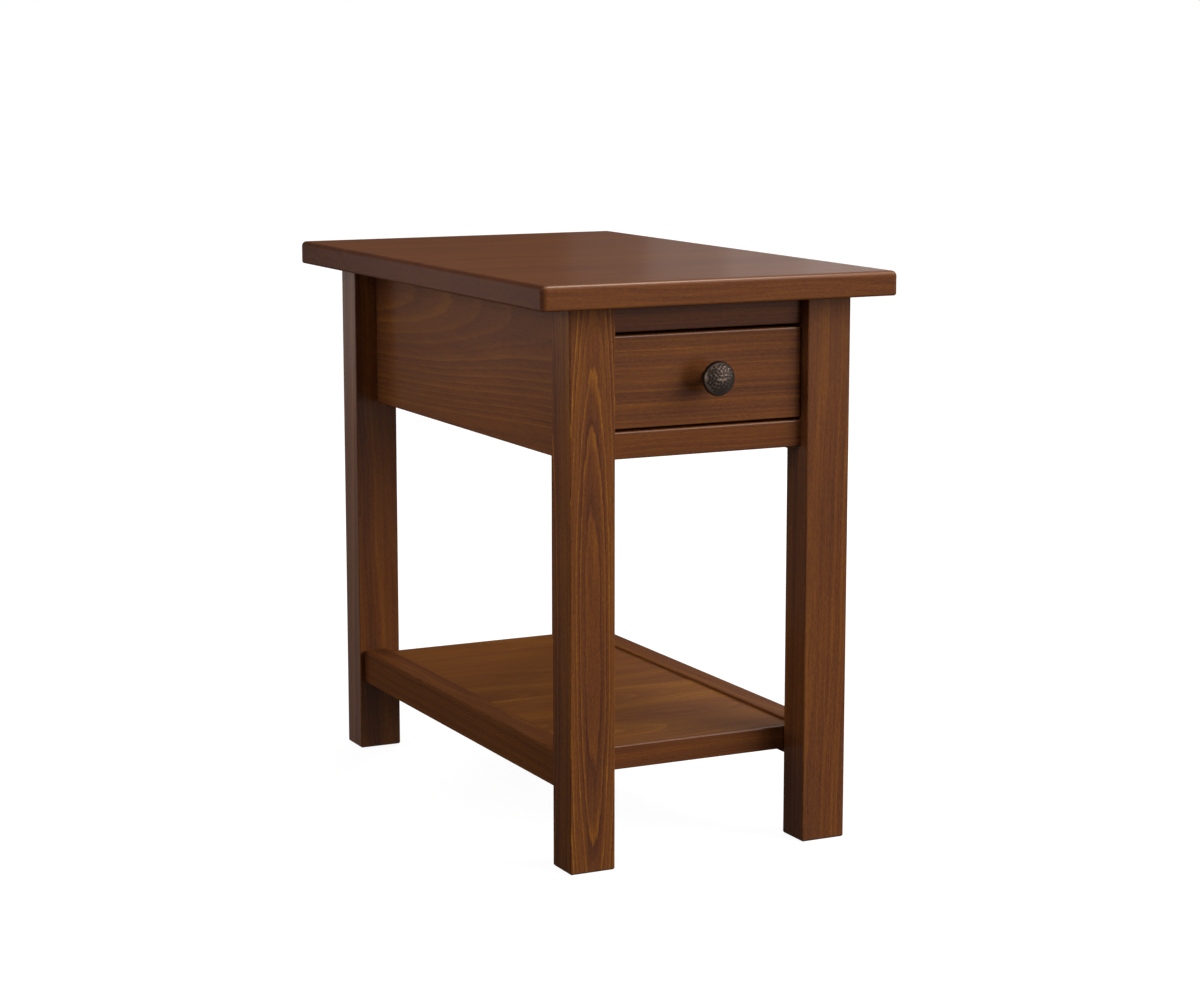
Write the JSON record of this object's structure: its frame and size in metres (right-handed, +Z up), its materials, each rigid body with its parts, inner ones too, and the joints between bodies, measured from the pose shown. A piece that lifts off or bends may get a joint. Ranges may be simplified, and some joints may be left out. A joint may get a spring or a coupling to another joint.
{
  "type": "side table",
  "caption": "Narrow wooden side table with square legs, a dovetailed drawer on roller slides, a hammered round knob and a low open shelf.",
  "frame": {"origin": "on the floor under the middle of the table top", "axes": "+X to the right along the drawer front, +Y to the back, +Z up; the drawer opens along -Y"},
  "size_m": [0.41, 0.676, 0.61],
  "materials": {
    "stained_wood": "red-brown stain under satin lacquer",
    "block_wood": "bare sawn pine",
    "drawer_wood": "clear satin lacquer",
    "plywood": "clear satin lacquer",
    "dowel_wood": "bare beech",
    "knob_bronze": "dark hammered bronze",
    "brown_enamel": "baked brown enamel",
    "white_nylon": "moulded",
    "zinc_steel": "zinc plated"
  },
  "bodies": {
    "frame": {"back_apron": "stained_wood", "bottom_rail": "stained_wood", "corner_block_screws": "zinc_steel", "frame_roller_pins": "zinc_steel", "frame_slide_screws": "zinc_steel", "left_back_corner_block": "block_wood", "left_back_leg": "stained_wood", "left_frame_slide": "brown_enamel", "left_front_corner_block": "block_wood", "left_front_leg": "stained_wood", "left_shelf_rail": "stained_wood", "left_side_apron": "stained_wood", "left_top_cleat": "block_wood", "right_back_corner_block": "block_wood", "right_back_leg": "stained_wood", "right_frame_slide": "brown_enamel", "right_front_corner_block": "block_wood", "right_front_leg": "stained_wood", "right_shelf_rail": "stained_wood", "right_side_apron": "stained_wood", "right_top_cleat": "block_wood", "shelf_dowels": "dowel_wood", "shelf_panel": "stained_wood", "table_top": "stained_wood", "table_top_screws": "zinc_steel", "top_cleat_screws": "zinc_steel", "top_rail": "stained_wood"},
    "drawer": {"drawer_bottom": "plywood", "drawer_bottom_screws": "zinc_steel", "drawer_box_back": "drawer_wood", "drawer_box_front": "drawer_wood", "drawer_front": "stained_wood", "drawer_front_screws": "zinc_steel", "drawer_roller_pins": "zinc_steel", "drawer_slide_screws": "zinc_steel", "knob": "knob_bronze", "knob_screw": "zinc_steel", "left_drawer_side": "drawer_wood", "left_drawer_slide": "brown_enamel", "right_drawer_side": "drawer_wood", "right_drawer_slide": "brown_enamel"},
    "left_drawer_roller": {"left_drawer_roller": "white_nylon"},
    "left_frame_roller": {"left_frame_roller": "white_nylon"},
    "right_drawer_roller": {"right_drawer_roller": "white_nylon"},
    "right_frame_roller": {"right_frame_roller": "white_nylon"}
  },
  "joints": [
    {"name": "drawer_out", "type": "slide", "parent": "frame", "child": "drawer", "axis": [0, -1, 0], "range_m": [0, 0.375]},
    {"name": "left_drawer_roller_turn", "type": "hinge", "parent": "drawer", "child": "left_drawer_roller", "pos_m": [-0.1055, 0.21282, 0.475], "axis": [1, 0, 0], "continuous": true},
    {"name": "left_frame_roller_turn", "type": "hinge", "parent": "frame", "child": "left_frame_roller", "pos_m": [-0.1055, -0.266, 0.475], "axis": [1, 0, 0], "continuous": true},
    {"name": "right_drawer_roller_turn", "type": "hinge", "parent": "drawer", "child": "right_drawer_roller", "pos_m": [0.1055, 0.21282, 0.475], "axis": [1, 0, 0], "continuous": true},
    {"name": "right_frame_roller_turn", "type": "hinge", "parent": "frame", "child": "right_frame_roller", "pos_m": [0.1055, -0.266, 0.475], "axis": [1, 0, 0], "continuous": true}
  ],
  "couplings": [
    {"joint": "left_drawer_roller_turn", "follows": "drawer_out", "rad_per_m": 111.11},
    {"joint": "left_frame_roller_turn", "follows": "drawer_out", "rad_per_m": 90.909},
    {"joint": "right_drawer_roller_turn", "follows": "drawer_out", "rad_per_m": 111.11},
    {"joint": "right_frame_roller_turn", "follows": "drawer_out", "rad_per_m": 90.909}
  ]
}
